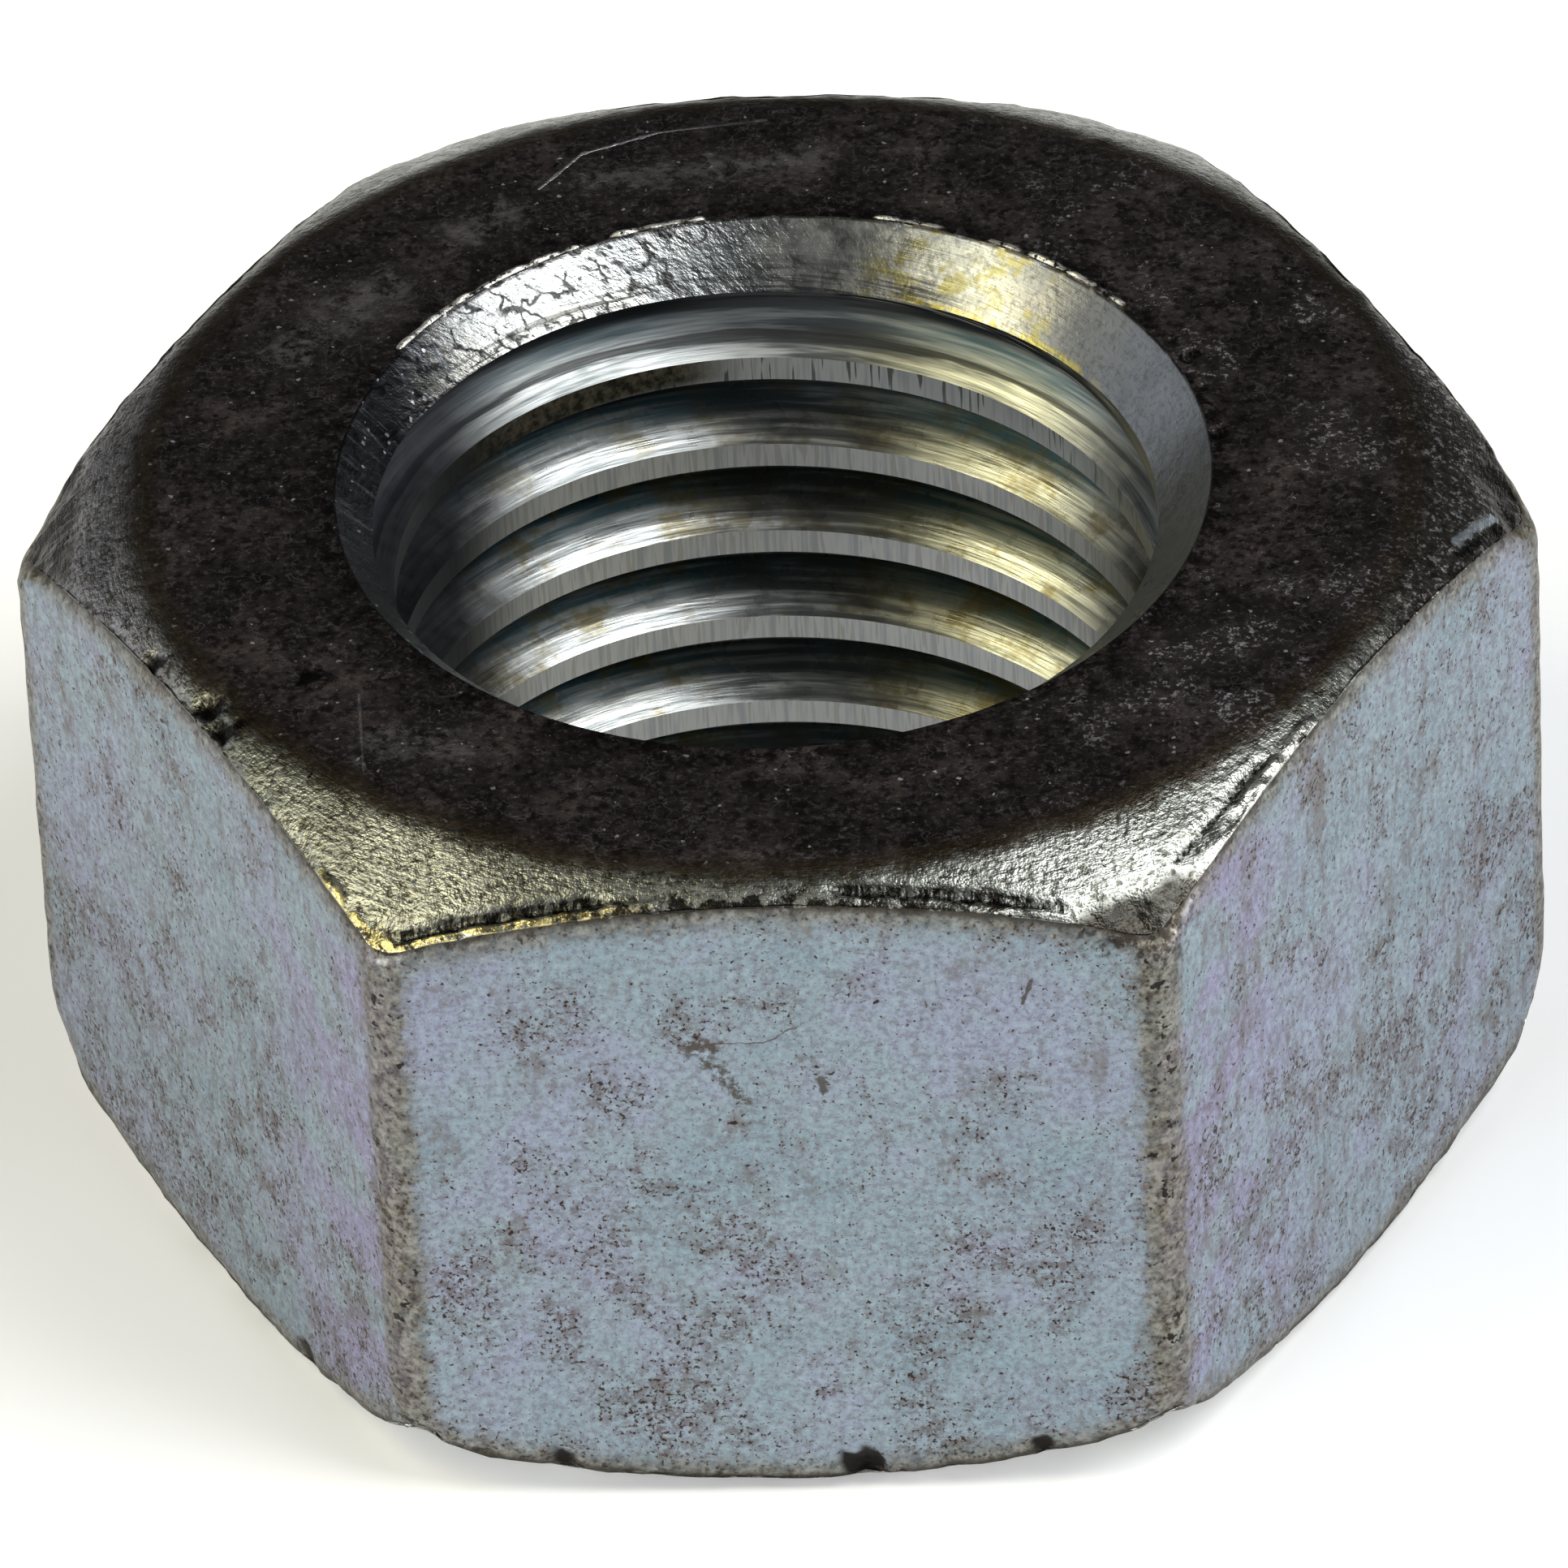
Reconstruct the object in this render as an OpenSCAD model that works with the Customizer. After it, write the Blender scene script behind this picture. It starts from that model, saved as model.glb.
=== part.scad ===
// Plain hexagon nut with a right-hand ISO metric coarse thread.
//
// Frame: millimetres, +Z up along the bore axis. The origin is the centre of the lower
// bearing face. Two flats face +Y and -Y, and two corners point along +X and -X.

/* [Hexagon] */
// Width across two opposite flats
across_flats = 30; // [28:0.5:36]
// Height between the two bearing faces
height = 17.2; // [12:0.2:24]
// Radius that rounds the six upright corners
corner_round = 0.9; // [0.3:0.1:1.5]

/* [End chamfers] */
// Diameter of each bearing face, as a share of the width across flats
bearing_share = 0.96; // [0.9:0.01:0.98]
// Slope of the upper chamfer, in degrees from the bearing face
top_chamfer_angle = 26; // [15:1:35]
// Slope of the lower chamfer, in degrees from the bearing face
bottom_chamfer_angle = 30; // [15:1:35]

/* [Thread] */
// Nominal thread diameter
thread_d = 20; // [14:1:22]
// Thread pitch
thread_pitch = 2.5; // [1.5:0.25:3]
// Turn of the thread about the bore axis, in degrees
thread_turn = 86; // [0:1:359]
// Mouth of each countersink, as a share of the thread diameter
countersink_share = 0.99; // [0.98:0.01:1.06]
// Full angle of each countersink
countersink_angle = 90; // [80:5:120]
// Straight steps in one turn of the thread
thread_steps = 48; // [48:12:60]

/* [Punch scores] */
// Number of fine score lines that the punch left along the bore
score_count = 12; // [8:1:16]
// Depth of each score line
score_depth = 0.06; // [0.03:0.01:0.1]

/* [Hidden] */

zinc = [0.62, 0.65, 0.70];
$fn = 120;

// Cutters run past the faces that they cut by this much
clear = 1;

// Hexagon with rounded corners
inradius = across_flats / 2;
round_centre_r = (inradius - corner_round) / cos(30);

// Turned blank that carries both chamfers
bearing_r = bearing_share * inradius;
blank_r = inradius / cos(30) + clear;
top_drop = (blank_r - bearing_r) * tan(top_chamfer_angle);
bottom_drop = (blank_r - bearing_r) * tan(bottom_chamfer_angle);

// ISO 60 degree profile: flats of P/8 at the root and P/4 at the crest
flank_angle = 30;
major_r = thread_d / 2;
minor_r = major_r - 5 / 8 * thread_pitch * cos(30);
root_half = thread_pitch / 16;
cutter_inner_r = minor_r - thread_pitch / 8;
inner_half = root_half + (major_r - cutter_inner_r) * tan(flank_angle);

// The groove runs from one pitch below the nut to one pitch above it
step_rise = thread_pitch / thread_steps;
ring_count = ceil((height + 2 * thread_pitch) / step_rise) + 1;

// Rings lie half a step off the seam of the round surfaces that they cut
ring_offset = 0.5;

// Countersinks
mouth_r = countersink_share * major_r;
mouth_slope = tan(countersink_angle / 2);
mouth_depth = (mouth_r - minor_r) / mouth_slope;

// Score lines sit at uneven steps around the bore
function score_angle(i) = 360 / score_count * (i + 0.2 * sin(137 * i));

// Groove section at ring i: inner low, outer low, outer high, inner high
function ring_angle(i) = thread_turn + 360 * (i + ring_offset) / thread_steps;
function ring_height(i) = step_rise * (i + ring_offset) - thread_pitch;
function ring_point(i, r, dz) = [r * cos(ring_angle(i)), r * sin(ring_angle(i)), ring_height(i) + dz];
function ring(i) = [
    ring_point(i, cutter_inner_r, -inner_half),
    ring_point(i, major_r, -root_half),
    ring_point(i, major_r, root_half),
    ring_point(i, cutter_inner_r, inner_half)
];

// Hexagonal prism with true round corners, longer than the nut at both ends
module hexagon() {
    // The flats, joined by short chords where each corner round meets them
    chord_points = [
        for (corner = [0:60:300])
            for (side = [-30, 30])
                [
                    round_centre_r * cos(corner) + corner_round * cos(corner + side),
                    round_centre_r * sin(corner) + corner_round * sin(corner + side)
                ]
    ];
    translate([0, 0, -clear]) {
        linear_extrude(height = height + 2 * clear)
            polygon(chord_points);
        for (corner = [0:60:300])
            rotate(corner)
                translate([round_centre_r, 0, 0])
                    cylinder(r = corner_round, h = height + 2 * clear);
    }
}

// Turned outline that cuts the chamfers on both faces
module turned_blank() {
    rotate_extrude()
        polygon([
            [0, 0],
            [bearing_r, 0],
            [blank_r, bottom_drop],
            [blank_r, height - top_drop],
            [bearing_r, height],
            [0, height]
        ]);
}

// One continuous helical cutter, right-hand, as a closed band of rings
module thread_groove() {
    points = [for (i = [0:ring_count - 1]) each ring(i)];
    last = 4 * (ring_count - 1);
    sides = [
        for (i = [0:ring_count - 2])
            for (j = [0:3])
                let (a = 4 * i + j, b = 4 * i + (j + 1) % 4)
                    each [[a, b, a + 4], [b, b + 4, a + 4]]
    ];
    start_cap = [[0, 2, 1], [0, 3, 2]];
    end_cap = [[last, last + 1, last + 2], [last, last + 2, last + 3]];
    polyhedron(points = points, faces = concat(sides, start_cap, end_cap), convexity = 10);
}

// Bore at the minor diameter of the thread
module bore() {
    rotate(thread_turn)
        translate([0, 0, -clear])
            cylinder(r = minor_r, h = height + 2 * clear);
}

// Countersink at a face: the cone opens upwards from the minor diameter
module countersink() {
    rotate(thread_turn)
        translate([0, 0, -mouth_depth])
            cylinder(
                r1 = minor_r,
                r2 = mouth_r + clear * mouth_slope,
                h = mouth_depth + clear
            );
}

// Fine V-shaped score lines along the bore wall
module punch_scores() {
    for (i = [0:score_count - 1])
        rotate(score_angle(i))
            translate([minor_r, 0, -clear])
                rotate(45)
                    translate([-score_depth / sqrt(2), -score_depth / sqrt(2), 0])
                        cube([score_depth * sqrt(2), score_depth * sqrt(2), height + 2 * clear]);
}

module hex_nut() {
    color(zinc)
        difference() {
            intersection() {
                hexagon();
                turned_blank();
            }
            bore();
            translate([0, 0, height])
                countersink();
            rotate([180, 0, 0])
                countersink();
            punch_scores();
            thread_groove();
        }
}

hex_nut();
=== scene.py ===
import math

import bpy
import numpy as np
from mathutils import Matrix, Vector


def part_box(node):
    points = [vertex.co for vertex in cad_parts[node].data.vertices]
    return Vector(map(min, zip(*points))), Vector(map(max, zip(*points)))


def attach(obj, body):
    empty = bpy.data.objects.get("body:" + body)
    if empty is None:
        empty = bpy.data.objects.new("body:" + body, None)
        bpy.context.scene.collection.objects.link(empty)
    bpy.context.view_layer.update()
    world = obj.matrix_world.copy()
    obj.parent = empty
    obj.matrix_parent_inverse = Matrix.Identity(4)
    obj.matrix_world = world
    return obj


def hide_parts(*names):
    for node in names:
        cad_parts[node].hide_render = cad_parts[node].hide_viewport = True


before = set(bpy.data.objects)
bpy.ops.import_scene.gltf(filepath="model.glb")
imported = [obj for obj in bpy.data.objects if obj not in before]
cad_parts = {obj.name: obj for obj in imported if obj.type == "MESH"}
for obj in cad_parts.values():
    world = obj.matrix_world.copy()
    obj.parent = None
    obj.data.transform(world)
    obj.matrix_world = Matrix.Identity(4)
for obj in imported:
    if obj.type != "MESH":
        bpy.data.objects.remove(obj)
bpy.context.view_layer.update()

# Lengths are millimetres until a mesh is written, and the row frame is in metres.
MM = 0.001

# ---------------------------------------------------------------- the part's own sizes

low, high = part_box("hex_nut")
HEIGHT = (high[2] - low[2]) / MM
INRADIUS = (high[1] - low[1]) / MM / 2
CORNER_ROUND = 0.9
BEARING_R = 0.96 * INRADIUS
TOP_SLOPE = math.tan(math.radians(26))
BOTTOM_SLOPE = math.tan(math.radians(30))
# How softly each chamfer starts
TOP_SOFTNESS = 0.35
BOTTOM_SOFTNESS = 0.2

MAJOR_R = 10.0
PITCH = 2.5
THREAD_TURN = math.radians(86)
MINOR_R = MAJOR_R - 5 / 8 * PITCH * math.cos(math.radians(30))
FLANK_RISE = 1 / math.tan(math.radians(30))
ROOT_HALF = PITCH / 16
CREST_HALF = 3 / 8 * PITCH
MOUTH_R = 0.99 * MAJOR_R
MOUTH_DEPTH = MOUTH_R - MINOR_R
# Depths below the upper face between which the groove fades out
FADE_START = 1.2
FADE_END = 0.7

# ---------------------------------------------------------------- seeded noise


def lattice(cell, seed):
    """A repeatable value from -1 to 1 for each whole-number cell."""
    c = cell.astype(np.int64)
    h = c[..., 0] * 374761393 + c[..., 1] * 668265263 + c[..., 2] * 2246822519 + seed * 3266489917
    h = (h ^ (h >> 13)) * 1274126177 & 0xFFFFFFFF
    h = (h ^ (h >> 16)) & 0xFFFF
    return h / 32767.5 - 1


def noise(points, size, seed):
    """Smooth value noise whose features are about size across."""
    p = points / size
    cell = np.floor(p)
    t = p - cell
    t = t * t * (3 - 2 * t)
    total = 0
    for corner in np.ndindex(2, 2, 2):
        weight = np.prod(np.where(np.array(corner), t, 1 - t), axis=-1)
        total = total + weight * lattice(cell + np.array(corner), seed)
    return total


def rough_noise(points, size, seed, octaves=3):
    """Noise with finer and weaker layers on top."""
    return sum(noise(points, size / 2**k, seed + 17 * k) / 2**k for k in range(octaves))


def step(x, start, end):
    """0 before start, 1 after end, smooth between. start may be the larger."""
    t = np.clip((x - start) / (end - start), 0, 1)
    return t * t * (3 - 2 * t)


# ---------------------------------------------------------------- outlines

COLUMNS = 504
SECTOR = COLUMNS // 6
even_angle = 2 * math.pi * np.arange(COLUMNS + 1) / COLUMNS

ROUND_CENTRE = (INRADIUS - CORNER_ROUND) / math.cos(math.radians(30))
TANGENT_X = ROUND_CENTRE + CORNER_ROUND * math.cos(math.radians(30))
TANGENT_Y = CORNER_ROUND / 2
TANGENT_ANGLE = math.atan2(TANGENT_Y, TANGENT_X)


def outer_angles():
    """Column angles for the outside: close together round each upright corner."""
    half = SECTOR // 2
    near = 9
    edge = 1.5 * TANGENT_ANGLE
    close = np.linspace(0, edge, near + 1)
    wide = edge + (math.pi / 6 - edge) * np.linspace(0, 1, half - near + 1) ** 1.25
    away = np.concatenate([close, wide[1:]])
    sector = np.concatenate([away[:-1], math.pi / 3 - away[::-1][:-1]])
    turns = [sector + math.pi / 3 * k for k in range(6)]
    return np.append(np.concatenate(turns), 2 * math.pi)


outer_angle = outer_angles()


def from_corner(angle):
    """Angle from the nearest upright corner's direction."""
    return (angle + math.pi / 6) % (math.pi / 3) - math.pi / 6


def hexagon_r(angle):
    """Radius of the hexagon with round corners."""
    a = np.abs(from_corner(angle))
    flat = INRADIUS / np.cos(math.pi / 6 - a)
    inside = np.maximum(CORNER_ROUND**2 - (ROUND_CENTRE * np.sin(a)) ** 2, 0)
    rounded = ROUND_CENTRE * np.cos(a) + np.sqrt(inside)
    return np.where(a < TANGENT_ANGLE, rounded, flat)


def shoulder_r(angle):
    """Radius where the upper chamfer starts. The real chamfer is turned slightly off centre."""
    return BEARING_R + 0.08 * np.cos(angle) + 0.22 * np.sin(angle)


def soft_ramp(past, softness):
    """past where it is above zero, 0 where it is below, and a soft bend between."""
    return (past + np.sqrt(past**2 + softness**2)) / 2


def top_drop(r, angle):
    """How far the upper end has fallen at a radius, with a soft shoulder at the chamfer's start."""
    return TOP_SLOPE * soft_ramp(r - shoulder_r(angle), TOP_SOFTNESS)


def bottom_drop(r):
    """How far the lower end has risen at a radius."""
    return BOTTOM_SLOPE * soft_ramp(r - BEARING_R, BOTTOM_SOFTNESS)


def helix(z, angle):
    """Height above the groove's centre line, which climbs one pitch a turn."""
    return z - PITCH * (angle - THREAD_TURN) / (2 * math.pi)


def thread_r(z, angle):
    """Radius of the bare thread: 60 degree flanks between a narrow root and a wider crest.

    The groove fades out before it reaches the upper rim.
    """
    s = helix(z, angle)
    away = s - PITCH * np.round(s / PITCH)
    faded = MAJOR_R - (MAJOR_R - MINOR_R) * step(z - away, HEIGHT - FADE_START, HEIGHT - FADE_END)
    return np.clip(MAJOR_R - (np.abs(away) - ROOT_HALF) * FLANK_RISE, MINOR_R, faded)


def mouth_r(z):
    """Radius of the two countersinks."""
    depth = np.minimum(z, HEIGHT - z)
    return MOUTH_R - depth


def bore_r(z, angle):
    return np.maximum(thread_r(z, angle), mouth_r(z))


# ---------------------------------------------------------------- rows of the bore


def spaced(start, end, step_size):
    count = max(1, round((end - start) / step_size))
    return np.linspace(start, end, count + 1)


def bore_levels():
    """Row heights, closest together in the upper countersink."""
    zone = MOUTH_DEPTH + 0.15
    lower = spaced(0, zone, 0.16)
    middle = spaced(zone, HEIGHT - zone, 0.19)
    upper = spaced(HEIGHT - zone, HEIGHT, 0.07)
    return np.concatenate([lower[:-1], middle, upper[1:]])


def bore_features(angle):
    """Heights where the bore's outline bends, one array per bend and NaN where it is absent."""
    found = []
    top_start = HEIGHT - MOUTH_DEPTH
    for turn in range(-1, int(HEIGHT / PITCH) + 3):
        centre = PITCH * (angle - THREAD_TURN) / (2 * math.pi) + turn * PITCH
        for side in (-1, 1):
            root = centre + side * ROOT_HALF
            found.append(np.where((root > 0) & (root < HEIGHT), root, np.nan))
            crest = centre + side * CREST_HALF
            found.append(np.where((crest > MOUTH_DEPTH) & (crest < top_start), crest, np.nan))
            # Where this flank runs out through each countersink
            slope = -side * FLANK_RISE
            drop = MAJOR_R - MINOR_R
            for start, cone in ((top_start, 1), (MOUTH_DEPTH, -1)):
                z = (drop - slope * root + cone * start) / (cone - slope)
                on_flank = (np.abs(z - centre) > ROOT_HALF) & (np.abs(z - centre) < CREST_HALF)
                on_flank &= (z - centre) * side > 0
                on_cone = (z > top_start) if cone > 0 else (z < MOUTH_DEPTH)
                inside = (z > 0) & (z < HEIGHT)
                found.append(np.where(on_flank & on_cone & inside, z, np.nan))
    for level in (MOUTH_DEPTH, top_start):
        on_crest = thread_r(level, angle) <= MINOR_R + 1e-9
        found.append(np.where(on_crest, level, np.nan))
    return found


def bore_rows():
    """Heights of every row at every column, each bend caught by the row nearest to it."""
    levels = bore_levels()
    z = np.repeat(levels[:, None], COLUMNS, axis=1)
    columns = np.arange(COLUMNS)
    middles = (levels[1:] + levels[:-1]) / 2
    for bend in bore_features(even_angle[:-1]):
        here = ~np.isnan(bend)
        row = np.searchsorted(middles, bend[here])
        row = np.clip(row, 1, len(levels) - 2)
        z[row, columns[here]] = bend[here]
    return z


# ---------------------------------------------------------------- the closed grid

BORE, FACE, CHAMFER, FLAT, LOW_CHAMFER, LOW_FACE = range(6)

# Where the rows lie: on the two faces in steps out from the mouth, of which FACE_STEPS reach the
# chamfer, on the chamfers as shares of the way out, and on the flats as shares of the way down
FACE_STEPS = 4.5
FACE_ROWS = [0.05, 0.12, 0.2, 0.3, 0.5, 0.9, 1.4, 2.0, 2.6, 3.1, 3.5, 3.8, 4.1, 4.3]
LOW_FACE_ROWS = [4.2, 3.8, 3.0, 2.0, 1.2, 0.6, 0.3, 0.15, 0.06]
CHAMFER_ROWS = [0, 0.1, 0.22, 0.35, 0.48, 0.6, 0.69, 0.77, 0.83, 0.88, 0.915, 0.945, 0.97, 0.985, 1]
FLAT_ROWS = [0.004, 0.012, 0.025, 0.045, 0.07, *np.linspace(0.105, 0.895, 20), 0.93, 0.955, 0.975, 0.99]


def face_angles(steps_out):
    """Column angles on a face, which pass from the bore's even spacing to the outside's."""
    return even_angle + step(steps_out, 0.6, 3.5) * (outer_angle - even_angle)


def grid():
    """Rows of points in order round the nut's section, with each strip's kind and its angles."""
    r_rows, z_rows, a_rows, kinds = [], [], [], []

    def add(r, z, angle, kind):
        r_rows.append(np.broadcast_to(r, COLUMNS).astype(float))
        z_rows.append(np.broadcast_to(z, COLUMNS).astype(float))
        a_rows.append(angle)
        kinds.append(kind)

    even = even_angle[:-1]
    outer = outer_angle[:-1]
    for z in bore_rows():
        add(bore_r(z, even), z, even_angle, BORE)
    kinds[-1] = FACE
    rim = r_rows[-1]
    low_rim = r_rows[0]

    for out in FACE_ROWS:
        angle = face_angles(out)
        r = rim + (BEARING_R - MOUTH_R) * out / FACE_STEPS
        add(r, HEIGHT - top_drop(r, angle[:-1]), angle, FACE)

    hexagon = hexagon_r(outer)
    reach = hexagon - BEARING_R
    for share in CHAMFER_ROWS:
        r = BEARING_R + reach * share
        add(r, HEIGHT - top_drop(r, outer), outer_angle, CHAMFER)
    kinds[-1] = FLAT
    upper = HEIGHT - top_drop(hexagon, outer)
    lower = bottom_drop(hexagon)
    for share in FLAT_ROWS:
        add(hexagon, upper + (lower - upper) * share, outer_angle, FLAT)
    for share in CHAMFER_ROWS[::-2]:
        r = BEARING_R + reach * share
        add(r, bottom_drop(r), outer_angle, LOW_CHAMFER)
    kinds[-1] = LOW_FACE
    for out in LOW_FACE_ROWS:
        angle = face_angles(out)
        r = low_rim + (BEARING_R - MOUTH_R) * out / FACE_STEPS
        add(r, bottom_drop(r), angle, LOW_FACE)
    return np.array(r_rows), np.array(z_rows), np.array(a_rows), np.array(kinds)


def triangles(row_count):
    """Corners of every triangle as row, column, side and strip; its diagonals climb with the thread."""
    k, i = np.meshgrid(np.arange(row_count), np.arange(COLUMNS), indexing="ij")
    k, i = k.ravel(), i.ravel()
    up = (k + 1) % row_count
    a = np.stack([k, i, 0 * i, k], 1)
    b = np.stack([k, i, 0 * i + 1, k], 1)
    c = np.stack([up, i, 0 * i + 1, k], 1)
    d = np.stack([up, i, 0 * i, k], 1)
    return np.stack([np.stack([c, b, a], 1), np.stack([d, c, a], 1)], 1).reshape(-1, 3, 4)


def vertex_normals(points, faces):
    """Unit normals at the points, weighted by the triangles' areas."""
    a, b, c = (points[faces[:, corner]] for corner in range(3))
    normals = np.cross(b - a, c - a)
    total = np.zeros_like(points)
    for corner in range(3):
        np.add.at(total, faces[:, corner], normals)
    return total / np.maximum(np.linalg.norm(total, axis=1, keepdims=True), 1e-12)


# ---------------------------------------------------------------- wear as real shape

# Chips on the lower edge: angle about the axis, height, half width and depth
CHIPS = [
    (-84.0, 0.8, 0.52, 0.22),
    (-119.2, 1.5, 0.45, 0.16),
    (-109.0, 1.1, 0.35, 0.12),
    (-69.5, 1.2, 0.4, 0.12),
    (-136.0, 1.0, 0.35, 0.12),
]
# Pits in the upper end: angle, radius, half width and depth
PITS = [
    (-157.0, 15.0, 0.3, 0.15),
    (-148.3, 14.6, 0.32, 0.14),
    (-145.4, 14.8, 0.25, 0.14),
    (-146.0, 12.35, 0.25, 0.1),
    (43.1, 10.25, 0.16, 0.12),
    (24.0, 10.2, 0.22, 0.14),
    (6.9, 10.1, 0.22, 0.14),
]
# The blackest pits, by position on the upper end
BLACK_PITS = [(-13.85, -5.85), (-12.45, -7.75), (-12.05, -8.5), (-10.25, -6.9)]
# Gouges in the upper end: start and end as angle and radius, half width and depth (a ridge if negative)
GOUGES = [
    (-56.0, 16.05, -43.5, 15.0, 0.12, 0.1),
    (-9.0, 15.5, -2.5, 16.2, 0.16, -0.07),
]
# Heights of the beads along the mouth and along the chamfer's lower edge
MOUTH_BEAD = 0.09
EDGE_BEAD = 0.11
# How far the outside's edges are rolled over, how much that varies, and how far in it reaches
EDGE_ROLL = 0.07
EDGE_VARIES = 0.045
EDGE_REACH = 0.24
# How far each upper corner tip is knocked back, going round from +X, and the cut's lean outward and up
TIP_OUT = 0.7
TIP_UP = 0.714
TIPS = [0.5, 0.4, 0.4, 0.55, 0.22, 0.42]


def on_top(angle, r):
    """The point of the upper end at an angle in degrees and a radius."""
    a = math.radians(angle)
    return np.array([r * math.cos(a), r * math.sin(a), HEIGHT - top_drop(r, a)])


def on_side(angle, z):
    """The point of the outside at an angle in degrees and a height."""
    a = math.radians(angle)
    r = hexagon_r(np.array(a))
    return np.array([r * math.cos(a), r * math.sin(a), z])


def dent(points, centre, size, depth):
    """A ragged hollow."""
    away = np.linalg.norm(points - centre, axis=1) / (size * (1 + 0.35 * noise(points, 0.35, 41)))
    return depth * step(away, 1.3, 0.3)


def gouge(points, start, end, width, depth):
    """A straight hollow with raised lips."""
    along = end - start
    t = np.clip((points - start) @ along / (along @ along), 0, 1)
    away = np.linalg.norm(points - start - t[:, None] * along, axis=1) / width
    away *= 1 + 0.2 * noise(points, 0.3, 43)
    return depth * (step(away, 1.0, 0.2) - 0.45 * step(away, 1.0, 1.4) * step(away, 2.2, 1.4))


def window(angle, start, end):
    """1 between two angles in degrees, fading over two degrees at each end."""
    degrees = (np.degrees(angle) + 180) % 360 - 180
    return step(degrees, start - 2, start) * step(degrees, end + 2, end)


def hollows(points, kind, angle, edge):
    """Depth of the chips, pits, gouges and rolled grooves at each point."""
    grooved = (window(angle, -119, -105) + 0.9 * window(angle, -83, -67)) * (kind == CHAMFER)
    across = step(edge, 0.2, 0.3) * step(edge, 0.62, 0.42)
    deep = grooved * (0.1 + 0.06 * noise(points, 0.2, 19)) * across
    outside = (kind == FLAT) | (kind == CHAMFER) | (kind == LOW_CHAMFER)
    top = (kind == FACE) | (kind == CHAMFER)
    for angle, z, size, depth in CHIPS:
        deep += outside * dent(points, on_side(angle, z), size, depth)
    for angle, r, size, depth in PITS:
        deep += top * dent(points, on_top(angle, r), size, depth)
    for angle_a, r_a, angle_b, r_b, width, depth in GOUGES:
        deep += top * gouge(points, on_top(angle_a, r_a), on_top(angle_b, r_b), width, depth)
    return deep


def burrs(points, kind, angle, r, edge):
    """Height of the beads that stand along the upper mouth and along the chamfer's lower edge."""
    out = r - MOUTH_R
    upper = points[:, 2] > HEIGHT / 2
    ring = step(out, 0.0, 0.05) * step(out, 0.26, 0.1) * (kind == FACE) * upper
    beads = 0.75 + 0.8 * noise(points, 0.26, 11) + 0.5 * noise(points, 2.2, 13)
    high = ring * MOUTH_BEAD * (window(angle, 38, 76) + window(angle, 100, 148)) * np.clip(beads, 0, 1.5)
    beaded = (0.15 + 0.85 * (window(angle, -127, -101) + window(angle, -58, -38))) * (kind == CHAMFER)
    lump = np.clip(0.75 + 1.1 * noise(points, 0.24, 15), 0, 1.6)
    return high + beaded * EDGE_BEAD * lump * step(edge, 0.34, 0.16) * step(edge, 0.0, 0.05)


def knock_tips(points):
    """Cuts the upper corner tips back to ragged slanted facets, and tells how far each point moved."""
    moved = np.zeros(len(points))
    for number, depth in enumerate(TIPS):
        angle = math.radians(60 * number)
        way = np.array([TIP_OUT * math.cos(angle), TIP_OUT * math.sin(angle), TIP_UP])
        tip = on_top(60 * number, float(hexagon_r(np.array(angle))))
        over = points @ way - tip @ way + depth + 0.05 * rough_noise(points, 0.5, 23)
        back = soft_ramp(over, 0.12)
        points = points - back[:, None] * way
        moved += back
    return points, moved


def relief(points, kind, corner_away, edge):
    """How far each point of the unbroken surface moves along its normal, in millimetres."""
    flat = kind == FLAT
    chamfer = (kind == CHAMFER) | (kind == LOW_CHAMFER)
    outside = flat | chamfer
    away = np.where(flat, 0.012 * rough_noise(points, 3.0, 3), 0)
    away += np.where(kind == FACE, 0.006 * rough_noise(points, 0.7, 5), 0)
    away += np.where(chamfer, 0.01 * rough_noise(points, 0.9, 7), 0)

    # Upright corners are scuffed, and their tips and edges are knocked round
    scuffed = step(corner_away, 0.75, 0.35) * outside
    away += scuffed * 0.025 * (rough_noise(points, 0.45, 9) - 0.5)
    worn = np.where(outside, edge, 9)
    rolled = EDGE_ROLL + EDGE_VARIES * rough_noise(points, 0.6, 29)
    away -= rolled * np.exp(-((worn / EDGE_REACH) ** 2))
    away -= 0.3 * np.exp(-((worn**2 + corner_away**2) / 0.9**2)) * (points[:, 2] < HEIGHT / 2)
    return away


# ---------------------------------------------------------------- mesh

SHARP_ANGLE = math.radians(42)


def edge_distance(kind, angle, r, z):
    """How far a point is from an edge: the rim in the bore and on a face, else the end of its flat."""
    hexagon = hexagon_r(angle)
    to_ends = np.minimum(HEIGHT - top_drop(hexagon, angle) - z, z - bottom_drop(hexagon))
    return np.select(
        [kind == FLAT, (kind == CHAMFER) | (kind == LOW_CHAMFER), (kind == FACE) | (kind == LOW_FACE)],
        [to_ends, hexagon - r, r - MOUTH_R],
        default=HEIGHT - z,
    )


def layout_of(kind, angle, r, z):
    """Millimetres round the nut, across the surface, and from the nearest upright corner.

    Across is the height over the groove in the bore, the height on a flat, and how far past the
    shoulder on an end.
    """
    bore, flat = kind == BORE, kind == FLAT
    around = np.where(bore, angle * MINOR_R, angle * 15)
    past = r - np.where(z > HEIGHT / 2, shoulder_r(angle), BEARING_R)
    across = np.select([bore, flat], [helix(z, angle), z], default=past)
    corner = np.where(bore, 9.0, np.abs(r * np.sin(from_corner(angle))))
    return np.stack([around, across, corner], -1)


def slot_numbers(kind, angle, z):
    """Which finish each triangle takes."""
    bore = kind == BORE
    in_mouth = mouth_r(z) > thread_r(z, angle) - 1e-6
    on_crest = thread_r(z, angle) <= MINOR_R + 0.02
    return np.select([~bore & (kind == FLAT), ~bore, in_mouth, on_crest], [1, 0, 2, 4], default=3)


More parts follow.
